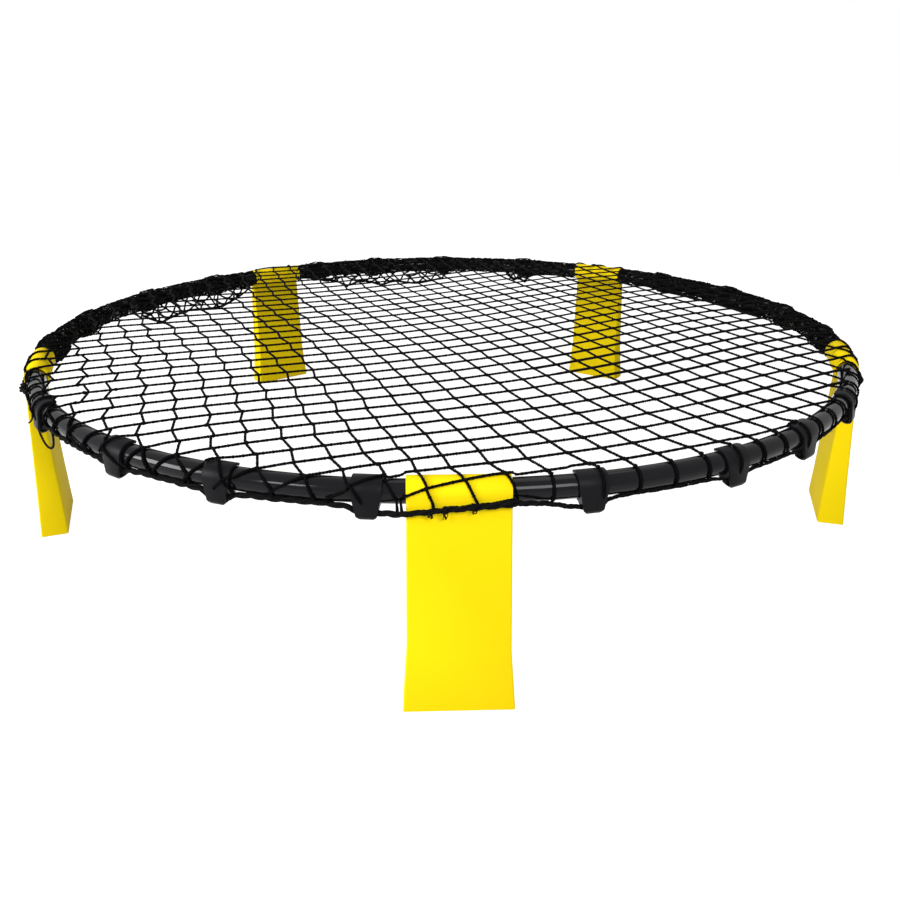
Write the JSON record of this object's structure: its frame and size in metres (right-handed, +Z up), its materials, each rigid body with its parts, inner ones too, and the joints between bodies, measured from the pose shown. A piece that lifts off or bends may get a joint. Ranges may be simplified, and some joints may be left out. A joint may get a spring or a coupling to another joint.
{
  "type": "round rebound net on a ring frame",
  "caption": "Round knotted net stretched over a black tube ring that stands on short folding yellow legs, for a bounce-ball game.",
  "frame": {"origin": "on the floor, under the centre of the ring", "axes": "+Z up, -Y towards the front leg, +X to the right seen from the front"},
  "size_m": [0.9039, 0.9151, 0.184],
  "materials": {
    "tube": "glossy black tube",
    "leg": "satin moulded yellow",
    "clip": "satin black",
    "rope": "braided black cord",
    "net": "knotted black cord"
  },
  "bodies": {
    "ring": {"rim_tube_1": "tube", "rim_tube_2": "tube", "rim_tube_3": "tube", "rim_tube_4": "tube", "rim_tube_5": "tube", "net_clip_1_1": "clip", "net_clip_1_2": "clip", "net_clip_1_3": "clip", "net_clip_1_4": "clip", "net_clip_2_1": "clip", "net_clip_2_2": "clip", "net_clip_2_3": "clip", "net_clip_2_4": "clip", "net_clip_3_1": "clip", "net_clip_3_2": "clip", "net_clip_3_3": "clip", "net_clip_3_4": "clip", "net_clip_4_1": "clip", "net_clip_4_2": "clip", "net_clip_4_3": "clip", "net_clip_4_4": "clip", "net_clip_5_1": "clip", "net_clip_5_2": "clip", "net_clip_5_3": "clip", "net_clip_5_4": "clip", "net_border_rope": "rope", "net": "net"},
    "leg_body_1": {"leg_1": "leg"},
    "leg_body_2": {"leg_2": "leg"},
    "leg_body_3": {"leg_3": "leg"},
    "leg_body_4": {"leg_4": "leg"},
    "leg_body_5": {"leg_5": "leg"}
  },
  "joints": [
    {"name": "leg_fold_1", "type": "hinge", "parent": "ring", "child": "leg_body_1", "pos_m": [0, -0.4358, 0.17], "axis": [1, 0, 0], "range_deg": [0, 85]},
    {"name": "leg_fold_2", "type": "hinge", "parent": "ring", "child": "leg_body_2", "pos_m": [0.41447, -0.13467, 0.17], "axis": [0.309, 0.9511, 0], "range_deg": [0, 85]},
    {"name": "leg_fold_3", "type": "hinge", "parent": "ring", "child": "leg_body_3", "pos_m": [0.25616, 0.35257, 0.17], "axis": [-0.809, 0.5878, 0], "range_deg": [0, 85]},
    {"name": "leg_fold_4", "type": "hinge", "parent": "ring", "child": "leg_body_4", "pos_m": [-0.25616, 0.35257, 0.17], "axis": [-0.809, -0.5878, 0], "range_deg": [0, 85]},
    {"name": "leg_fold_5", "type": "hinge", "parent": "ring", "child": "leg_body_5", "pos_m": [-0.41447, -0.13467, 0.17], "axis": [0.309, -0.9511, 0], "range_deg": [0, 85]}
  ]
}
